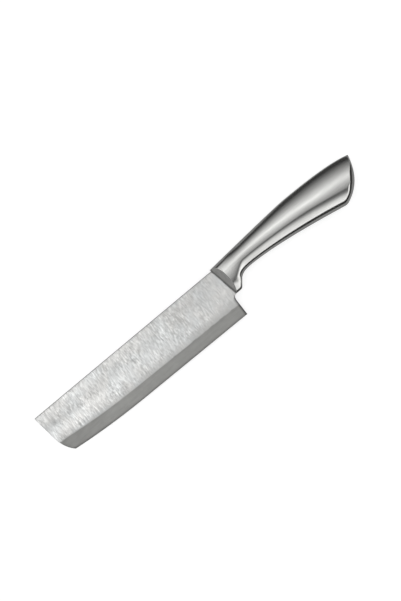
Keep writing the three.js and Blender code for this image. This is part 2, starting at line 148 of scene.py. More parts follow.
def cutting_edge(x):
    """y of the edge: a straight line from the heel, then a quadratic sweep to the tip's lower corner."""
    corner = TIP_SETBACK - BLADE_LENGTH
    sweep = corner + SWEEP_LENGTH
    slope = SWEEP_RISE / (HEEL_SETBACK - sweep)
    straight = SWEEP_RISE - HEEL_HEIGHT - slope * (x - sweep)
    tangent = corner + SWEEP_TANGENT
    tangent_y = SWEEP_RISE - HEEL_HEIGHT - slope * (tangent - sweep)
    share = bezier_share(corner, tangent, sweep, x)
    swept = bezier(TIP_RISE - HEEL_HEIGHT, tangent_y, SWEEP_RISE - HEEL_HEIGHT, share)
    return np.where(x > sweep, straight, swept)


def tip_edge(y):
    """x of the tip: a small round below the spine, a leaning straight and a curve to the lower corner."""
    lean = TIP_LEAN * TIP_CORNER / TIP_STRAIGHT
    rounded = bezier(TIP_CORNER, 0, lean, bezier_share(0, 0, -TIP_CORNER, y))
    straight = TIP_LEAN * -y / TIP_STRAIGHT
    share = bezier_share(-TIP_STRAIGHT, -TIP_CURVE_START, TIP_RISE - HEEL_HEIGHT, y)
    curved = bezier(TIP_LEAN, TIP_CURVE_LEAN, TIP_SETBACK, share)
    return np.select([y > -TIP_CORNER, y > -TIP_STRAIGHT], [rounded, straight], curved) - BLADE_LENGTH


def heel_end(y):
    """x of the blade's rear end: the shoulder beside the bolster, the tang with rounded corners between
    its top and bottom, and below the beak a quadratic notch to the heel, which leans forward."""
    shoulder = front_edge(y) - SHOULDER_CLEARANCE
    notch_start = front_edge(-BEAK_DEPTH) - SHOULDER_CLEARANCE
    notch_end = -BEAK_DEPTH - HEEL_NOTCH
    share = bezier_share(-BEAK_DEPTH, -BEAK_DEPTH, notch_end, y)
    lean = HEEL_LEAN * np.clip((y + HEEL_HEIGHT) / (notch_end + HEEL_HEIGHT), 0, 1)
    notch = bezier(notch_start, HEEL_SETBACK + HEEL_LEAN, HEEL_SETBACK + lean, share)
    above = np.sqrt(np.clip((y - TANG_BOTTOM) / TANG_CORNER, 0, 1))
    below = np.sqrt(np.clip((TANG_TOP - y) / TANG_CORNER, 0, 1))
    tang = TANG_END - TANG_CORNER * ((1 - above) ** 2 + (1 - below) ** 2)
    in_tang = (y > TANG_BOTTOM - CLOSE) & (y < TANG_TOP + CLOSE)
    return np.select([in_tang, y > -BEAK_DEPTH], [tang, shoulder], notch)


def visible_end(y):
    """x where the blade's side ends: at the handle's front edge, and below the beak at the rear end."""
    return np.where(y > -BEAK_DEPTH, front_edge(y), heel_end(y))


def bevel_width(x):
    """Height of the broad bevel, a little taller at the tip than at the heel."""
    return lerp(BEVEL_TIP, BEVEL_HEEL, np.clip((x + BLADE_LENGTH) / BLADE_LENGTH, 0, 1))


def blade_half(above_edge, bevel):
    """Half the blade's thickness: the least of the fine bevel's line, the broad bevel's and the sheet's."""
    fine = EDGE_HALF + above_edge * (FINE_HALF - EDGE_HALF) / FINE_BEVEL
    broad = FINE_HALF + (above_edge - FINE_BEVEL) * (HALF_BLADE - FINE_HALF) / (bevel - FINE_BEVEL)
    return np.minimum(np.minimum(fine, broad), HALF_BLADE)


def blade_rings():
    """Both sides of the blade as rings across it, from the tip to the tang. Rows lie at set heights above
    the edge on the bevels, and on the flat at the heel's own heights, drawn together towards the tip.
    Columns run from the tip's outline to the heel's, whose corners are quarter rounds. Returns the rings
    and each point's height above the bevel's upper line."""
    fine = FINE_BEVEL * np.array([0, 0.5, 1 - FINE_SOFT, 1 + FINE_SOFT])
    broad = np.linspace(0, 1, 9)[1:]
    flat = -SPINE_ROUND
    flat_start = BEVEL_HEEL + BEVEL_SOFT - HEEL_HEIGHT
    notch = -BEAK_DEPTH - HEEL_NOTCH * np.linspace(1, 0, 9) ** 2
    corner = TANG_CORNER * np.linspace(0, 1, 6) ** 2
    heights = np.concatenate([
        np.linspace(flat_start, -BEAK_DEPTH - HEEL_NOTCH, 5)[:-1],
        notch,
        np.linspace(-BEAK_DEPTH, TANG_BOTTOM - TANG_ROOT, 10)[1:],
        TANG_BOTTOM + corner,
        (TANG_TOP - corner)[::-1],
        np.linspace(TANG_TOP + TANG_ROOT, flat, 4),
    ])
    turn = np.radians(np.linspace(90, 0, 6)[1:])
    spine = -SPINE_ROUND * (1 - np.cos(turn))
    spine_half = HALF_BLADE - SPINE_ROUND * (1 - np.sin(turn))
    rows = [len(fine), len(broad), len(heights), len(spine)]
    kind = np.repeat([0, 1, 2, 3], rows)
    value = np.concatenate([fine, broad, heights, spine])

    inwards = RIM_ROUND * (1 - np.cos(np.radians(np.linspace(0, 90, 5))))
    outwards = inwards[-2::-1]
    to_blend = np.linspace(0, 1, 89)[1:]
    to_heel = np.linspace(0, 1, 8)[1:]
    steps = len(to_blend) + len(to_heel)
    tip_inset = np.concatenate([inwards, np.full(steps + len(outwards), RIM_ROUND)])
    heel_inset = np.concatenate([np.full(len(inwards) + steps, RIM_ROUND), outwards])
    blend = np.concatenate([np.zeros(len(inwards)), to_blend, np.ones(len(to_heel) + len(outwards))])
    heel = np.concatenate([np.zeros(len(inwards) + len(to_blend)), to_heel, np.ones(len(outwards))])

    x = np.full((len(blend), len(value)), HEEL_BLEND)
    for _ in range(12):
        edge = cutting_edge(np.minimum(x, HEEL_SETBACK))
        bevel = bevel_width(x)
        span = (flat - edge - bevel - BEVEL_SOFT) / (flat - flat_start)
        y = np.select(
            [kind == 0, kind == 1, kind == 2],
            [edge + value, edge + lerp(fine[-1], bevel - BEVEL_SOFT, value), flat + (value - flat) * span],
            value,
        )
        tip = tip_edge(y) + tip_inset[:, None]
        end = heel_end(y) - heel_inset[:, None]
        x = lerp(lerp(tip, HEEL_BLEND, blend[:, None]), end, heel[:, None])
    half = blade_half(y - edge, bevel)
    half = np.where(kind == 3, np.concatenate([np.zeros(sum(rows[:3])), spine_half]), half)
    inset = np.minimum(tip_inset, heel_inset)[:, None] / RIM_ROUND
    half = half - np.minimum(RIM_ROUND, MOST_ROUND * half) * (1 - np.sqrt(1 - (1 - inset) ** 2))
    left = np.stack([x, y, half], -1)
    right = np.stack([x, y, -half], -1)[:, ::-1]
    above = y - edge - bevel
    return np.concatenate([left, right], 1), np.concatenate([above, above[:, ::-1]], 1)


def tube_faces(rings):
    """Faces of a closed surface over rings: quads between neighbours, and at both ends a strip that joins
    the ring's first half to its second half taken backwards."""
    along, around = rings.shape[:2]
    index = np.arange(along * around).reshape(along, around)
    here, there = index[:-1], index[1:]
    sides = np.stack([here, there, np.roll(there, -1, 1), np.roll(here, -1, 1)], -1).reshape(-1, 4)
    near, far = index[:, : around // 2], index[:, : around // 2 - 1 : -1]
    caps = np.stack([near[:, :-1], near[:, 1:], far[:, 1:], far[:, :-1]], -1)
    return np.concatenate([sides, caps[0], caps[-1][:, ::-1]])


def add_piece(name, node, points, faces, materials, second=None):
    """A closed piece that stands for a CAD node and moves with the knife. Its points are in millimetres
    from the start, and faces that meet at less than the sharp angle are shaded as one surface. The faces
    marked as second have the second material."""
    mesh = bpy.data.meshes.new(name)
    mesh.from_pydata((points.reshape(-1, 3) + start) * MM, [], faces)
    for material in materials:
        mesh.materials.append(material)
    if second is not None:
        mesh.polygons.foreach_set("material_index", second.astype(np.int32))
    mesh.shade_smooth()
    mesh.set_sharp_from_angle(angle=SHARP)
    piece = bpy.data.objects.new(name, mesh)
    bpy.context.scene.collection.objects.link(piece)
    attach(piece, "root")
    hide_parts(node)
    return piece


def feed(tree, socket, value):
    """Links a node's input to another node's output, or sets it to a value."""
    if isinstance(value, bpy.types.NodeSocket):
        tree.links.new(value, socket)
    else:
        socket.default_value = value


def add_node(tree, kind, sockets=None, **settings):
    """A shader node with its settings and its inputs."""
    node = tree.nodes.new(kind)
    for name, value in settings.items():
        setattr(node, name, value)
    for name, value in (sockets or {}).items():
        feed(tree, node.inputs[name], value)
    return node


def steel(name):
    """A bare metal material. Returns it with its node tree and its shader."""
    material = bpy.data.materials.new(name)
    material.use_nodes = True
    tree = material.node_tree
    shader = tree.nodes["Principled BSDF"]
    shader.inputs["Metallic"].default_value = 1
    return material, tree, shader


def noise(tree, scale, detail, stretch=(1, 1, 1), turn=(0, 0, 0), place=(0, 0, 0)):
    """Noise on the piece's own coordinates, in waves a metre, stretched and turned. Returns its value."""
    coordinates = add_node(tree, "ShaderNodeTexCoord").outputs["Object"]
    mapping = add_node(
        tree, "ShaderNodeMapping",
        {"Vector": coordinates, "Location": place, "Rotation": turn, "Scale": stretch},
    )
    sockets = {
        "Vector": mapping.outputs["Vector"], "Scale": scale, "Detail": detail,
        "Roughness": NOISE_ROUGHNESS,
    }
    return add_node(tree, "ShaderNodeTexNoise", sockets).outputs["Fac"]


def ranged(tree, value, low, high, to_low, to_high):
    """A value carried from one range to another, and held at the ends."""
    sockets = {"Value": value, "From Min": low, "From Max": high, "To Min": to_low, "To Max": to_high}
    return add_node(tree, "ShaderNodeMapRange", sockets).outputs["Result"]


def spread(tree, value, to_low, to_high):
    """A noise value carried from its usual range to another."""
    return ranged(tree, value, *NOISE_RANGE, to_low, to_high)


def maths(tree, operation, result, *others):
    """Values taken together one after another, or one value taken alone."""
    for other in others or (0.0,):
        node = add_node(tree, "ShaderNodeMath", operation=operation)
        feed(tree, node.inputs[0], result)
        feed(tree, node.inputs[1], other)
        result = node.outputs["Value"]
    return result


def blended(tree, share, first, last):
    """Two colours mixed by a share."""
    node = add_node(tree, "ShaderNodeMix", {"Factor": share}, data_type="RGBA")
    inputs = [socket for socket in node.inputs if socket.type == "RGBA"]
    for socket, value in zip(inputs, (first, last)):
        feed(tree, socket, (*value, 1) if isinstance(value, tuple) else value)
    return [socket for socket in node.outputs if socket.type == "RGBA"][0]


def surfaced(tree, shader, colour, roughness, height, depth):
    """Gives the shader its colour, its roughness and the bumps of a height, whose full step is a depth
    in millimetres."""
    bump = add_node(tree, "ShaderNodeBump", {"Height": height, "Distance": depth * MM, "Strength": 1})
    feed(tree, shader.inputs["Base Color"], colour)
    feed(tree, shader.inputs["Roughness"], roughness)
    feed(tree, shader.inputs["Normal"], bump.outputs["Normal"])


def attribute(tree, name):
    """A value that the mesh carries at its points."""
    return add_node(tree, "ShaderNodeAttribute", attribute_name=name).outputs["Fac"]


def painted_edge_shade(tree):
    """How light the blade is near its outline: painted shade along the heel's rear edge, for the dark that
    its rounded edge reflects, a lighter painted shade of the recess close to the bolster, and a little
    darker along the spine."""
    rear = ranged(tree, attribute(tree, "rear_edge"), *REAR_SHADE)
    front = ranged(tree, attribute(tree, "before_heel"), *FRONT_SHADE)
    spine = ranged(tree, attribute(tree, "below_spine"), *SPINE_SHADE)
    return maths(tree, "MULTIPLY", rear, front, spine)


def linished_steel():
    """The flat sides: short streaks across the blade, bright and dark, on a cloudy ground with faint cool
    and warm tints. Towards the tip a painted reflection lightens the ground, in bands along the blade; at
    its very end the ground is darker again. Near the bevel's upper line the streaks are polished out and
    the steel darkens. Near the outline it takes the painted edge shade."""
    material, tree, shader = steel("linished_steel")
    streak = noise(tree, 1250, 4, (1, 0.2, 1), (0, 0, np.radians(-3)))
    fine = noise(tree, 2200, 2, (1, 0.2, 1), (0, 0, np.radians(2)))
    patch = noise(tree, 110, 2, (1, 0.6, 1), place=(0.3, 0.1, 0))
    cloud = noise(tree, 60, 4, place=(0.7, 0.2, 0))
    tint = noise(tree, 60, 2, place=(0.1, 0.9, 0))
    below_spine = attribute(tree, "below_spine")
    to_tip = maths(tree, "DIVIDE", attribute(tree, "before_heel"), BLADE_LENGTH)
    polish = ranged(tree, to_tip, 0, 1, POLISH_HEEL, POLISH_TIP)
    above = maths(tree, "DIVIDE", attribute(tree, "above_bevel"), polish)
    strength = maths(
        tree, "MULTIPLY",
        ranged(tree, patch, 0.35, 0.65, 0.6, 1.4),
        ranged(tree, above, 0.1, 1, 0.2, 1),
        ranged(tree, to_tip, 0, 0.3, 0.4, 1),
    )
    grain = maths(tree, "ADD", ranged(tree, streak, 0.38, 0.8, -0.45, 1.2), spread(tree, fine, -0.3, 0.3))
    grain = maths(tree, "MULTIPLY", grain, strength)

    # Painted reflection: bands along the blade and a lighter ground towards the tip
    wave = maths(tree, "SUBTRACT", below_spine, BAND_START)
    reflection_band = maths(tree, "COSINE", maths(tree, "MULTIPLY", wave, 2 * np.pi / BAND_WIDTH))
    light = maths(
        tree, "ADD",
        ranged(tree, to_tip, 0, 1, LIGHT_HEEL, LIGHT_TIP),
        maths(tree, "MULTIPLY", reflection_band, ranged(tree, to_tip, 0.3, 0.9, 0, BAND_REFLECTION)),
        ranged(tree, below_spine, 5, 19, 0.01, 0.045),
        ranged(tree, to_tip, 0.87, 1, 0, -TIP_DARK),
        spread(tree, cloud, -0.04, 0.04),
        ranged(tree, above, 0, 1, -POLISH_DARK, 0),
        maths(tree, "MULTIPLY", grain, STREAK_LIGHT),
    )
    # Painted shade near the outline
    light = maths(tree, "MULTIPLY", light, painted_edge_shade(tree))
    cool = blended(tree, light, BLACK, (0.985, 1, 0.995))
    warm = blended(tree, light, BLACK, (1, 0.995, 0.975))
    colour = blended(tree, ranged(tree, tint, 0.4, 0.6, 0, 1), cool, warm)
    surfaced(tree, shader, colour, ranged(tree, grain, -1, 1, 0.42, 0.30), grain, 0.02)
    return material


def bevel_steel():
    """The ground bevels: even satin with a faint mottle, darker than the flat sides, more so near the
    tip, with a painted shade just below the upper line and the painted edge shade near the outline."""
    material, tree, shader = steel("bevel_steel")
    mottle = noise(tree, 90, 4, (1, 1.4, 1))
    lines = noise(tree, 1500, 2, (0.08, 1, 1))
    light = maths(tree, "ADD", spread(tree, mottle, 0.25, 0.6), spread(tree, lines, 0, 0.25))
    colour = blended(tree, light, (0.29, 0.29, 0.28), (0.43, 0.43, 0.415))
    to_tip = ranged(tree, attribute(tree, "before_heel"), 0.7 * BLADE_LENGTH, BLADE_LENGTH, 1, 0.8)
    # Painted shade just below the bevel's upper line, where a hollow grind would turn away from the light
    painted_line_shade = ranged(tree, attribute(tree, "above_bevel"), -3, -0.5, 1, 0.9)
    shade = maths(tree, "MULTIPLY", to_tip, painted_line_shade, painted_edge_shade(tree))
    colour = blended(tree, shade, BLACK, colour)
    surfaced(tree, shader, colour, spread(tree, mottle, 0.36, 0.3), lines, 0.004)
    return material


def carry(piece, name, values):
    """Stores a value at each point of a piece, for its materials."""
    piece.data.attributes.new(name, "FLOAT", "POINT").data.foreach_set("value", values.ravel())


rings, above_bevel = blade_rings()
faces = tube_faces(rings)
blade = add_piece(
    "knife_blade", "blade", rings, faces,
    [linished_steel(), bevel_steel()],
    second=above_bevel.ravel()[faces].mean(1) < 0,
)
carry(blade, "above_bevel", above_bevel)
carry(blade, "below_spine", -rings[..., 1])
before_heel = visible_end(rings[..., 1]) - rings[..., 0]
carry(blade, "before_heel", before_heel)
carry(blade, "rear_edge", np.hypot(np.maximum(rings[..., 1] - NOTCH_TURN, 0), before_heel))

# Bolster
# A steel casting behind the blade, slotted for the tang. Two slanted faces meet the blade, a beak hangs
# below the heel, and a spigot at the back goes into the hollow handle, where the tang is welded to it.
CROWN_X = 78.6
CROWN_RISE = 6.5
CROWN_TANGENT_FRONT = 11.6
CROWN_TANGENT_REAR = 44.4
BEAK_LENGTH = 5.9
BEAK_CORNER = 1.7
BEAK_SLOPE_LENGTH = 8.0
NECK_X = 26.8
NECK_DEPTH = 15.85
NECK_CORNER = 4.7
NECK_TANGENT = 26.8
POMMEL_SETBACK = 24.7
POMMEL_X = HANDLE_LENGTH - POMMEL_SETBACK
POMMEL_DEPTH = 28.2
POMMEL_CORNER = 2.4
BUTT_RISE = 1.4
BUTT_LEAN = 4.9
BUTT_CURVE_DEPTH = 20.0
FRONT_HALF = 6.5
POMMEL_HALF = 9.0
SPINE_HALF_FRONT = 5.4
SPINE_HALF = 3.0
SPINE_TURN = (8.0, 28.0)
RIDGE_DROP_FRONT = 7.8
RIDGE_DROP_POMMEL = 14.6
CREASE_DEPTH = 18.0
CREASE_TURN = (8.0, 25.5)
CREASE_SLOPE = np.tan(np.radians(10.7))
CREASE_SOFT = 0.3
FLANK_SLOPE = np.tan(np.radians(24))
FLANK_CURL = 0.33
FLANK_TURN = (22.0, 98.0)
FLANK_NECK = 6.35
FLANK_POMMEL = 9.65
RIM_SLOPE = np.tan(np.radians(38.5))
RIM_BEAK = 1.6
RIM_NECK = 2.6
RIM_GRIP = 3.5
RIM_POMMEL = 3.3
RIM_BUTT = 4.2
RIM_POMMEL_TURN = (POMMEL_X - 8, POMMEL_X + 4)
RIM_BUTT_TURN = (POMMEL_X + 6, POMMEL_X + 14)
RIM_TOP_TURN = (POMMEL_X + 18, BUTT_END)
BUTT_STRIP = 0.9
STRIP_GROWTH = (POMMEL_X, POMMEL_X + 6)
STRIP_FADE = (POMMEL_X + 11, POMMEL_X + 14)
RIM_SPINE_FRONT = 2.8
RIM_SPINE = 1.3
RIM_LAND = 0.5
RIM_SOFT = 0.15
HALF_SEAM = 0.8
WALL = 1.2
BUTT_WALL = 2.4
SPIGOT_CLEARANCE = 0.3
COLLAR_FRONT = 18.4
COLLAR_BACK = shell_low[0] - start[0]
SPIGOT_END = 27.0
FACET_SLOPE = np.tan(np.radians(43))
FACET_HALF = 1.08
FACET_SOFT = 0.14
FACET_LEAST = 0.6
FACET_STEPS = (0.06, 0.14, 0.26, 0.45)
# The corner behind the beak and the beak's sole, where the handle's shade is painted and its steel is
# duller
CORNER = (10.8, -17.6)
CORNER_REACH = 3.8
SOLE_REACH = (0.9, 2.3)
SHADE_AND_DULL_MOST = 0.8
SLOT_HALF = 1.03
SLOT_CLEARANCE = 0.1
OUTLINE_STEP = 0.1
OUTLINE_BLEND = 3.0
LEAST_STEP = 0.02
LEAST_SQUARE = 0.2


def towards(first, last, distance):
    """The point at a distance from the first point on the way to the last."""
    way = np.subtract(last, first)
    return np.add(first, way * distance / np.hypot(*way))


BEAK_FRONT = front_edge(-BEAK_DEPTH)
BEAK_BACK = BEAK_FRONT + BEAK_LENGTH
beak = (BEAK_BACK, -BEAK_DEPTH)
slope_top = (BEAK_BACK + BEAK_SLOPE_LENGTH, -NECK_DEPTH)
neck = (NECK_X, -NECK_DEPTH)
neck_control = (NECK_X + NECK_TANGENT, -NECK_DEPTH)
pommel = (POMMEL_X, -POMMEL_DEPTH)
butt_control = (HANDLE_LENGTH - BUTT_LEAN, -BUTT_CURVE_DEPTH)
butt_top = (HANDLE_LENGTH, BUTT_RISE)
crown = (CROWN_X, CROWN_RISE)
beak_front = (BEAK_FRONT, -BEAK_DEPTH)
before_beak = towards(beak, beak_front, BEAK_CORNER)
after_beak = towards(beak, slope_top, BEAK_CORNER)
before_neck = towards(slope_top, beak, NECK_CORNER)
before_pommel = towards(pommel, neck_control, POMMEL_CORNER)
after_pommel = towards(pommel, butt_control, POMMEL_CORNER)

# The handle's outline from the side as quadratic curves, each a start, a control point and an end. The
# straight ones have their control point in the middle.
BACK = [
    ((0, SPINE_STEP), (CROWN_X - CROWN_TANGENT_FRONT, CROWN_RISE), crown),
    (crown, (CROWN_X + CROWN_TANGENT_REAR, CROWN_RISE), butt_top),
]
BELLY = [
    (beak_front, lerp(np.array(beak_front), before_beak, 0.5), before_beak),
    (before_beak, beak, after_beak),
    (after_beak, lerp(after_beak, before_neck, 0.5), before_neck),
    (before_neck, slope_top, neck),
    (neck, neck_control, before_pommel),
    (before_pommel, pommel, after_pommel),
    (after_pommel, butt_control, butt_top),
]

# Rows across the handle's side: the belly's rim, the flank, the dome and the spine's rim
ROWS = (14, 12, 36, 13)
zone = np.repeat(np.arange(len(ROWS)), ROWS)
shares = [np.arange(count) / count for count in ROWS[:-1]]
row_share = np.concatenate([*shares, np.linspace(0, 1, ROWS[-1])])


def outline_height(curves, x):
    """y of an outline at x: each curve in turn takes over where it starts."""
    height = np.full(np.shape(x), float(curves[0][0][1]))
    for first, control, last in curves:
        share = bezier_share(first[0], control[0], last[0], x)
        height = np.where(x >= first[0], bezier(first[1], control[1], last[1], share), height)
    return height


def belly_path():
    """The belly and the butt at even steps: x and the way the outline heads there, in radians, evened out
    over a short length so that widths measured from it run smoothly round the corners."""
    share = np.linspace(0, 1, 400)
    curves = [[bezier(*(point[axis] for point in curve), share) for axis in (0, 1)] for curve in BELLY]
    points = np.concatenate(curves, 1).T
    points = points[points[:, 0] <= BUTT_END]
    points = np.append(points, [[BUTT_END, outline_height(BELLY, BUTT_END)]], 0)
    run = np.concatenate([[0], np.cumsum(np.hypot(*np.diff(points, axis=0).T))])
    even = np.linspace(0, run[-1], round(run[-1] / OUTLINE_STEP))
    x, y = (np.interp(even, run, points[:, axis]) for axis in (0, 1))
    heading = np.arctan2(np.gradient(y), np.gradient(x))
    width = round(OUTLINE_BLEND / OUTLINE_STEP / 2)
    padded = np.pad(heading, width, mode="edge")
    return x, np.convolve(padded, np.full(2 * width + 1, 1 / (2 * width + 1)), mode="valid")


path_x, path_heading = belly_path()


def soft_least(first, last, soft):
    """The lower of two heights, with the corner between them rounded off over a soft width."""
    overlap = np.maximum(soft - np.abs(first - last), 0)
    return np.minimum(first, last) - overlap**2 / (4 * soft)


def held(value, low, high):
    """A value kept between two bounds, of which the lower one wins where they cross."""
    return np.maximum(np.minimum(value, high), low)


def butt_strip(x):
    """Width of the strip beside the rim that the flank runs out into, past the pommel's corner."""
    return BUTT_STRIP * smoothstep(*STRIP_GROWTH, x) * (1 - smoothstep(*STRIP_FADE, x))


def belly_rim(x):
    """Width of the folded rim along the belly and round the butt, square to the outline: it grows along
    the grip, draws in at the pommel's corner, is broadest on the butt and narrows to its top."""
    rim = lerp(RIM_BEAK, RIM_NECK, smoothstep(BEAK_BACK, BEAK_BACK + BEAK_SLOPE_LENGTH, x))
    rim = lerp(rim, RIM_GRIP, smoothstep(*FLANK_TURN, x))
    rim = lerp(rim, RIM_POMMEL, smoothstep(*RIM_POMMEL_TURN, x))
    rim = lerp(rim, RIM_BUTT, smoothstep(*RIM_BUTT_TURN, x))
    return lerp(rim, RIM_SPINE, smoothstep(*RIM_TOP_TURN, x))


def spine_rim(x):
    """Width of the folded rim along the spine: broad on the bolster, narrow on the grip."""
    return lerp(RIM_SPINE_FRONT, RIM_SPINE, smoothstep(*SPINE_TURN, x))


def flank_width(x):
    """Height of the crease above the belly along the grip, growing towards the pommel."""
    return lerp(FLANK_NECK, FLANK_POMMEL, smoothstep(*FLANK_TURN, x))


def crease_line(x):
    """y of the crease. Behind the beak it rises in a slower S than the belly does, along the grip it
    draws away from the belly, and past the pommel it runs straight on to the butt."""
    pommel_x = before_pommel[0]
    fall = (NECK_DEPTH - POMMEL_DEPTH) / (POMMEL_X - neck_control[0])
    belly = outline_height(BELLY, np.clip(x, NECK_X, pommel_x)) + fall * np.maximum(x - pommel_x, 0)
    rise = smoothstep(*CREASE_TURN, x)
    return lerp(-CREASE_DEPTH, belly + flank_width(x), rise)


def side_height(x, y):
    """z of the handle's side without its rims: a ridge that swells towards the pommel, falling as a
    parabola to the spine and as a flatter one to the crease, and below that a flank that falls ever more
    steeply."""
    back = outline_height(BACK, x)
    swell = smoothstep(NECK_X, POMMEL_X, x)
    ridge = back - lerp(RIDGE_DROP_FRONT, RIDGE_DROP_POMMEL, swell)
    peak = lerp(FRONT_HALF, POMMEL_HALF, swell)
    fall = peak - lerp(SPINE_HALF_FRONT, SPINE_HALF, smoothstep(*SPINE_TURN, x))
    to_spine = peak - fall * ((y - ridge) / (back - spine_rim(x) - ridge)) ** 2
    crease = crease_line(x)
    span = ridge - crease
    to_crease = peak - CREASE_SLOPE / 2 * (ridge - y) ** 2 / span
    below = crease - y
    curl = FLANK_CURL * swell
    curled = lerp(1 - curl, 1, np.maximum(below, 0) / (flank_width(x) - belly_rim(x)))
    flank = peak - CREASE_SLOPE / 2 * span - FLANK_SLOPE * below * curled
    return soft_least(np.where(y > ridge, to_spine, to_crease), flank, CREASE_SOFT)


def handle_points(low_x, high_x, inset=0.0):
    """x, y and z of half the handle on lines from the belly's seam, at low_x, to the spine's, at high_x,
    one row after another. At both seams a rim folds over to a steep land. The belly's rim is measured
    square to the outline, and round the butt a narrow strip is bevelled off beside it. An inset draws the
    surface in by that distance."""
    low_y, high_y = outline_height(BELLY, low_x), outline_height(BACK, high_x)
    length = np.hypot(high_x - low_x, high_y - low_y)
    way_x, way_y = (high_x - low_x) / length, (high_y - low_y) / length
    heading = np.interp(low_x, path_x, path_heading)
    square = np.maximum(way_y * np.cos(heading) - way_x * np.sin(heading), LEAST_SQUARE)
    low_rim, high_rim = belly_rim(low_x), spine_rim(high_x)
    strip = butt_strip(low_x)
    strip_end = (low_rim + strip) / square
    strip_top = side_height(low_x + way_x * strip_end, low_y + way_y * strip_end)
    low_fold = strip_top - FLANK_SLOPE * strip
    high_fold = side_height(high_x, high_y - high_rim)

    def rim_height(distance, width, fold):
        knee = fold - RIM_SLOPE * (1 - RIM_LAND) * width
        land = lerp(HALF_SEAM, knee, distance / (RIM_LAND * width))
        height = soft_least(land, fold - RIM_SLOPE * (width - distance), RIM_SOFT)
        return np.where(distance < width, height, np.inf)

    bottom, top = inset / square, length - inset / way_y
    least = LEAST_STEP * length
    rim_end = held(low_rim / square, bottom + least, length / 3)
    crease_end = rim_end
    for _ in range(8):
        crease_end = (crease_line(low_x + way_x * crease_end) - low_y) / way_y
    crease_end = held(np.maximum(crease_end, strip_end), rim_end + least, length / 2)
    spine_start = held(length - high_rim / way_y, crease_end + least, top - least)
    rim_share = np.interp(row_share, (0, 0.5, 1), (0, RIM_LAND, 1))
    spine_share = np.interp(1 - row_share, (0, 0.5, 1), (0, RIM_LAND, 1))
    along = np.select(
        [zone == 0, zone == 1, zone == 2],
        [
            lerp(bottom, rim_end, rim_share),
            lerp(rim_end, crease_end, row_share),
            lerp(crease_end, spine_start, row_share),
        ],
        lerp(top, spine_start, spine_share),
    )
    x, y = low_x + way_x * along, low_y + way_y * along
    from_belly = along * square - inset
    low_z = rim_height(from_belly, low_rim, low_fold)
    strip_z = low_fold + FLANK_SLOPE * (from_belly - low_rim)
    low_z = np.minimum(low_z, np.where(from_belly < low_rim + strip, strip_z, np.inf))
    high_z = rim_height((length - along) * way_y - inset, high_rim, high_fold)
    z = np.minimum(side_height(x, y) - inset, np.minimum(low_z, high_z))
    return np.stack([x, y, np.maximum(z, HALF_SEAM)], -1)


def facet_height(x, y):
    """z of the slanted front face, which rises evenly behind the front edge."""
    return FACET_HALF + FACET_SLOPE * (x - front_edge(y)) * np.cos(np.arctan(FRONT_LEAN))


def bolster_loop():
    """The casting as loops through the slot and back outside: each row runs up the slanted face, along
    the dome to the collar, in to the spigot, over its end and forward again through the slot. The place
    where face and dome cross is found row by row, by halving. Returns the loops and how many of their
    points lie on the slanted face."""
    rows = len(zone)
    front = np.zeros((1, rows))
    for _ in range(20):
        front = front_edge(handle_points(front, front)[..., 1])
    low, high = front, np.full((1, rows), COLLAR_FRONT)
    for _ in range(40):
        middle = (low + high) / 2
        x, y, z = np.moveaxis(handle_points(middle, middle), -1, 0)
        below = facet_height(x, y) < z
        low, high = np.where(below, middle, low), np.where(below, high, middle)
    crossing = np.maximum(high, front + FACET_LEAST)
    near = np.array(FACET_STEPS)[:, None]
    facet = lerp(front, crossing - near[-1], np.linspace(0, 1, 7)[:, None])
    edge = np.concatenate([crossing - near[-2::-1], crossing, crossing + near])
    dome = lerp(edge[-1], COLLAR_FRONT, np.linspace(0, 1, 16)[1:, None])
    x = np.concatenate([facet, edge, dome])
    outside = handle_points(x, x)
    x, y, z = np.moveaxis(outside, -1, 0)
    outside[..., 2] = soft_least(z, facet_height(x, y), FACET_SOFT)
    spigot_x = np.broadcast_to(np.linspace(COLLAR_FRONT, SPIGOT_END, 6)[:, None], (6, rows))
    share = (y[0] - y[0, 0]) / (y[0, -1] - y[0, 0])
    slot_y = lerp(TANG_BOTTOM - SLOT_CLEARANCE, TANG_TOP + SLOT_CLEARANCE, share)
    slot_x = lerp(SPIGOT_END, front_edge(slot_y), np.linspace(0, 1, 5)[:, None])
    slot = np.stack([slot_x, np.broadcast_to(slot_y, slot_x.shape), np.full(slot_x.shape, SLOT_HALF)], -1)
    loop = np.concatenate([outside, handle_points(spigot_x, spigot_x, WALL + SPIGOT_CLEARANCE), slot])
    return np.concatenate([loop, (loop * (1, 1, -1))[:, ::-1]], 1), len(facet) + len(near)


def ring_faces(loops):
    """Faces of a surface that closes on itself in both directions."""
    along, around = loops.shape[:2]
    here = np.arange(along * around).reshape(along, around)
    there = np.roll(here, -1, 0)
    return np.stack([here, there, np.roll(there, -1, 1), np.roll(here, -1, 1)], -1).reshape(-1, 4)


def facet_steel():
    """The slanted faces: ground in fine lines along the handle, and darker than the rest, with a painted
    shade along their foot, where the face meets the blade."""
    material, tree, shader = steel("facet_steel")
    lines = noise(tree, 2200, 2, (1, 0.12, 0.12), (0, 0, np.radians(20)))
    mottle = noise(tree, 260, 3)
    light = maths(tree, "ADD", spread(tree, lines, 0, 0.6), spread(tree, mottle, 0, 0.4))
    colour = blended(tree, light, (0.40, 0.40, 0.39), (0.58, 0.58, 0.565))
    # Painted shade in the recess along the slanted face's foot
    painted_foot_shade = ranged(tree, attribute(tree, "behind_front"), 0.3, 1.5, 0.45, 1)
    colour = blended(tree, painted_foot_shade, BLACK, colour)
    surfaced(tree, shader, colour, spread(tree, lines, 0.44, 0.34), lines, 0.01)
    return material


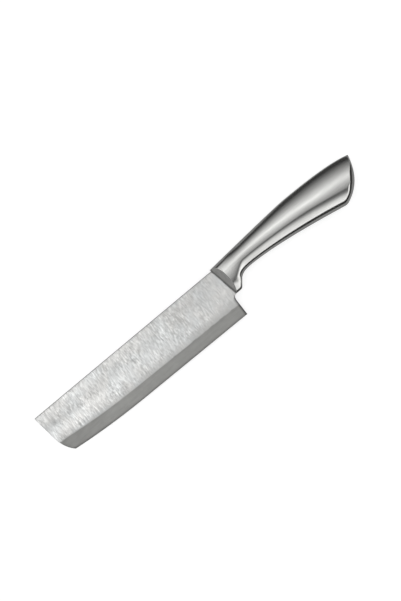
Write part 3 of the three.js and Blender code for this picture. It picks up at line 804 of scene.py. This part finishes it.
def handle_steel():
    """The handle's satin: fine brush lines along it, buffed until they nearly vanish, a faint cloud. It is
    duller, and painted dark as shade, in the corner behind the beak and along the beak's sole."""
    material, tree, shader = steel("handle_steel")
    brush = noise(tree, 2400, 3, (0.025, 1, 1))
    cloud = noise(tree, 55, 3, (0.5, 1, 1))
    light = maths(tree, "ADD", spread(tree, brush, 0, 0.5), spread(tree, cloud, 0, 0.5))
    colour = blended(tree, light, (0.56, 0.56, 0.545), (0.70, 0.70, 0.685))
    # Painted shade in the corner behind the beak and along its sole, where the steel is also duller
    painted_shade_and_dull = attribute(tree, "painted_shade_and_dull")
    colour = blended(tree, painted_shade_and_dull, colour, (0.18, 0.18, 0.175))
    dull = maths(tree, "MULTIPLY", painted_shade_and_dull, 0.15)
    roughness = maths(tree, "ADD", spread(tree, brush, 0.20, 0.14), dull)
    surfaced(tree, shader, colour, roughness, brush, 0.003)
    return material


satin = handle_steel()
loops, facet_rows = bolster_loop()
faces = ring_faces(loops)
on_facet = np.repeat(np.arange(len(loops)) < facet_rows - 1, loops.shape[1])
bolster = add_piece(
    "knife_bolster", "bolster", loops, faces,
    [satin, facet_steel()],
    second=on_facet,
)
# Distance behind the front edge, for the painted shade along the slanted face's foot
carry(bolster, "behind_front", loops[..., 0] - front_edge(loops[..., 1]))
# Where the handle is painted dark as shade and made duller: the corner behind the beak and the beak's sole
from_corner = np.hypot(*(loops[..., axis] - CORNER[axis] for axis in (0, 1)))
in_corner = 1 - smoothstep(0, CORNER_REACH, from_corner)
on_sole = 1 - smoothstep(*SOLE_REACH, loops[..., 1] + BEAK_DEPTH)
carry(bolster, "painted_shade_and_dull", SHADE_AND_DULL_MOST * np.maximum(in_corner, on_sole))

# Tang welds
# Two fillet beads, laid by hand where the tang leaves the spigot. They are closed into the handle and
# stay as laid, rippled and blued by the heat.


def raw_weld_steel():
    """Weld metal as laid: ripples across the bead under a brown and blue oxide in patches."""
    material, tree, shader = steel("raw_weld_steel")
    ripple = noise(tree, 700, 2, (0.3, 1, 0.3))
    oxide = noise(tree, 420, 3)
    colour = blended(tree, ranged(tree, oxide, 0.38, 0.62, 0, 1), (0.30, 0.24, 0.18), (0.26, 0.29, 0.36))
    surfaced(tree, shader, colour, spread(tree, ripple, 0.62, 0.45), ripple, 0.15)
    return material


raw_weld = raw_weld_steel()
for node in ("tang_weld_left", "tang_weld_right"):
    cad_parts[node].data.materials.clear()
    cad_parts[node].data.materials.append(raw_weld)

# Handle shells
# Two half shells pressed from 1.2 mm stainless sheet, one for each side. They butt together along the
# middle plane over the spigot, and close the butt between them.


def shell_skins():
    """The shell's outer side, and its inner side at the wall's thickness, which stops short of the butt.
    Along the grip the sections are upright. Round the butt their lower ends go along the outline at even
    steps, and their upper ends follow along the spine, slowly at first."""
    grip_end = POMMEL_X - 2 * POMMEL_CORNER
    grip = np.linspace(COLLAR_BACK, grip_end, 70)[:-1]
    run = np.linspace(np.searchsorted(path_x, grip_end), len(path_x) - 1, 90)
    share = np.linspace(0, 1, 90)
    low_x = np.concatenate([grip, np.interp(run, np.arange(len(path_x)), path_x)])[:, None]
    high_x = np.concatenate([grip, lerp(low_x[len(grip), 0], BUTT_END, share**3)])[:, None]
    outer = handle_points(low_x, high_x)
    shrink = (BUTT_END - BUTT_WALL - COLLAR_BACK) / (BUTT_END - COLLAR_BACK)
    low_x, high_x = (COLLAR_BACK + (x - COLLAR_BACK) * shrink for x in (low_x, high_x))
    return outer, handle_points(low_x, high_x, WALL)


outer_skin, inner_skin = shell_skins()
shell = np.concatenate([outer_skin, inner_skin[:, ::-1]], 1)
mirrored = shell * (1, 1, -1)
faces = tube_faces(shell)
add_piece("left_handle_shell", "handle_shell_left", shell, faces, [satin])
add_piece("right_handle_shell", "handle_shell_right", mirrored, faces[:, ::-1], [satin])

# Seam weld
# The weld that joins the two shells, from the bolster along the spine, round the butt and back along the
# belly. It fills the gap between them and is ground flush and polished with the shells.


def ground_weld_steel():
    """Weld metal ground flush: the handle's satin, a little duller, with faint bands across the bead."""
    material, tree, shader = steel("ground_weld_steel")
    bands = noise(tree, 500, 2, (1, 1, 0.1))
    brush = noise(tree, 2400, 2, (0.03, 1, 1))
    light = maths(tree, "ADD", spread(tree, bands, 0, 0.6), spread(tree, brush, 0, 0.4))
    colour = blended(tree, light, (0.54, 0.54, 0.525), (0.66, 0.66, 0.645))
    surfaced(tree, shader, colour, spread(tree, brush, 0.34, 0.26), brush, 0.003)
    return material


def seam_rings():
    """A strip along the outline, as wide as the gap and as deep as the wall: its ring is the outer face
    from left to right and the inner face back."""
    outer = np.concatenate([outer_skin[:, -1], outer_skin[::-1, 0]])
    inner = np.concatenate([inner_skin[:, -1], inner_skin[::-1, 0]])
    across = np.linspace(1, -1, 4)[:, None]
    strips = []
    for path, way in ((outer, across), (inner, -across)):
        strips.append(path[:, None] * (1, 1, 0) + way * (0, 0, HALF_SEAM))
    return np.concatenate(strips, 1)


ground_weld = ground_weld_steel()
seam = seam_rings()
add_piece("shell_seam", "seam_weld", seam, tube_faces(seam), [ground_weld])

# Collar weld
# The weld between the bolster and the shells, all the way round the neck. It is ground and polished until
# the joint can't be seen.


def collar_loop():
    """A band round the handle's section between the bolster and the shells, with the wall's depth."""
    corners = ((COLLAR_FRONT, 0.0), (COLLAR_BACK, 0.0), (COLLAR_BACK, WALL), (COLLAR_FRONT, WALL))
    loop = np.stack([handle_points(x, x, inset) for x, inset in corners])
    return np.concatenate([loop, (loop * (1, 1, -1))[:, ::-1]], 1)


collar = collar_loop()
add_piece("bolster_collar", "collar_weld", collar, ring_faces(collar), [satin])

# Floor, light and camera
# The knife lies on its side on a pale floor, on its tip and its bolster, under a soft tent that is open
# towards the belly, where a strip light stands. The camera looks straight down through a long lens.
REST_X = 9.0
FLOOR_REACH = 4000.0
FLOOR_GREY = 0.42
FLOOR_GLOW = 0.75
BACKDROP = 0.95
CAMERA_TURN = np.radians(39.885)
VIEW_CENTRE = (-20.5, -12.1)
VIEW_HEIGHT = 465.2
LENS = 100.0
SENSOR = 36.0

bolster_low = np.array(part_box("bolster")[0]) / MM
rest = np.array([start[0] + REST_X, bolster_low[2]])
tip = np.array([blade_low[0], blade_low[2]])
tilt = (tip[1] - rest[1]) / (tip[0] - rest[0])


def floor_material():
    """Pale matt floor, lit up where the camera sees it so that it stays even and nearly white."""
    material = bpy.data.materials.new("pale_floor")
    material.use_nodes = True
    tree = material.node_tree
    tree.nodes.remove(tree.nodes["Principled BSDF"])
    seen = add_node(tree, "ShaderNodeLightPath").outputs["Is Camera Ray"]
    matt = add_node(tree, "ShaderNodeBsdfDiffuse", {"Color": (FLOOR_GREY, FLOOR_GREY, FLOOR_GREY, 1)})
    glow = add_node(tree, "ShaderNodeEmission", {"Strength": maths(tree, "MULTIPLY", seen, FLOOR_GLOW)})
    both = add_node(tree, "ShaderNodeAddShader")
    tree.links.new(matt.outputs[0], both.inputs[0])
    tree.links.new(glow.outputs[0], both.inputs[1])
    tree.links.new(both.outputs[0], tree.nodes["Material Output"].inputs["Surface"])
    return material


across = np.array([-FLOOR_REACH, FLOOR_REACH])
floor_x, floor_y = (axis.ravel() for axis in np.meshgrid(across, across))
floor_z = rest[1] + tilt * (floor_x - rest[0])
floor_mesh = bpy.data.meshes.new("floor")
floor_mesh.from_pydata(np.stack([floor_x, floor_y, floor_z], -1) * MM, [], [(0, 1, 3, 2)])
floor_mesh.materials.append(floor_material())
floor = bpy.data.objects.new("floor", floor_mesh)
bpy.context.scene.collection.objects.link(floor)

# The tent's light falls off evenly towards the spine. Towards the belly it falls fast, then slowly, and
# ends short of the strip light. It is brighter over the blade than over the butt, and a dim card stands
# beyond the tip. Angles are from straight up, and other bounds are parts of the ray's direction.
TENT_PEAK = 1.4
TENT_SPINE_FADE = np.radians(80)
TENT_FAST_FADE = np.radians(16.2)
TENT_SLOW_FADE = np.radians(24.7)
TENT_SLOW_PEAK = 0.8 * TENT_PEAK
TENT_END = (np.radians(-20.5), np.radians(-5.35))
TENT_TURN = (-0.2, 0.2, 1.25, 0.75)
STRIP_BRIGHT = 1.75
STRIP_WAY = (0.5, -0.87)
STRIP_SPREAD = (0.1, 1)
STRIP_LOWER = (0.42, 0.47)
STRIP_UPPER = (0.56, 0.93)
CARD_BRIGHT = 0.13
CARD_TURN = (-0.9, -0.75)
DIM = 0.035
JUST_OVER_ONE = 1.0001

world = bpy.data.worlds.new("studio")
world.use_nodes = True
bpy.context.scene.world = world
tree = world.node_tree
ray = add_node(tree, "ShaderNodeTexCoord").outputs["Generated"]
way = add_node(tree, "ShaderNodeSeparateXYZ", {"Vector": ray}).outputs
angle = maths(tree, "ARCTAN2", way["Y"], way["Z"])
to_spine = ranged(tree, angle, 0, TENT_SPINE_FADE, TENT_PEAK, 0)
fast = ranged(tree, angle, -TENT_FAST_FADE, 0, 0, TENT_PEAK)
slow = ranged(tree, angle, -TENT_SLOW_FADE, 0, 0, TENT_SLOW_PEAK)
to_belly = maths(tree, "MAXIMUM", fast, slow)
tent = maths(tree, "MINIMUM", to_spine, to_belly, ranged(tree, angle, *TENT_END, 0, TENT_PEAK))
tent = maths(tree, "MULTIPLY", tent, ranged(tree, way["X"], *TENT_TURN))
upright = maths(tree, "MULTIPLY", way["Z"], way["Z"])
level = maths(tree, "SQRT", maths(tree, "SUBTRACT", JUST_OVER_ONE, upright))
facing = maths(
    tree, "ADD",
    maths(tree, "MULTIPLY", way["X"], STRIP_WAY[0]),
    maths(tree, "MULTIPLY", way["Y"], STRIP_WAY[1]),
)
facing = ranged(tree, maths(tree, "DIVIDE", facing, level), *STRIP_SPREAD, 0, STRIP_BRIGHT)
over_lower = ranged(tree, way["Z"], *STRIP_LOWER, 0, 1)
under_upper = ranged(tree, way["Z"], *STRIP_UPPER, 1, 0)
strip = maths(tree, "MULTIPLY", facing, maths(tree, "MINIMUM", over_lower, under_upper))
card = ranged(tree, way["X"], *CARD_TURN, CARD_BRIGHT, 0)
light = maths(tree, "ADD", tent, strip, card, DIM)
seen = add_node(tree, "ShaderNodeLightPath").outputs["Is Camera Ray"]
unseen = maths(tree, "MULTIPLY", light, maths(tree, "SUBTRACT", 1, seen))
light = maths(tree, "ADD", unseen, maths(tree, "MULTIPLY", seen, BACKDROP))
background = tree.nodes["Background"]
feed(tree, background.inputs["Strength"], light)
feed(tree, background.inputs["Color"], (1, 1, 1, 1))

camera_data = bpy.data.cameras.new("camera")
camera_data.lens = LENS
camera_data.sensor_width = SENSOR
camera = bpy.data.objects.new("camera", camera_data)
height = blade_high[2] + VIEW_HEIGHT * LENS / SENSOR
camera.location = np.array([*(start[:2] + VIEW_CENTRE), height]) * MM
camera.rotation_euler = (0, 0, -CAMERA_TURN)
bpy.context.scene.collection.objects.link(camera)
bpy.context.scene.camera = camera
bpy.context.scene.view_settings.view_transform = "Standard"
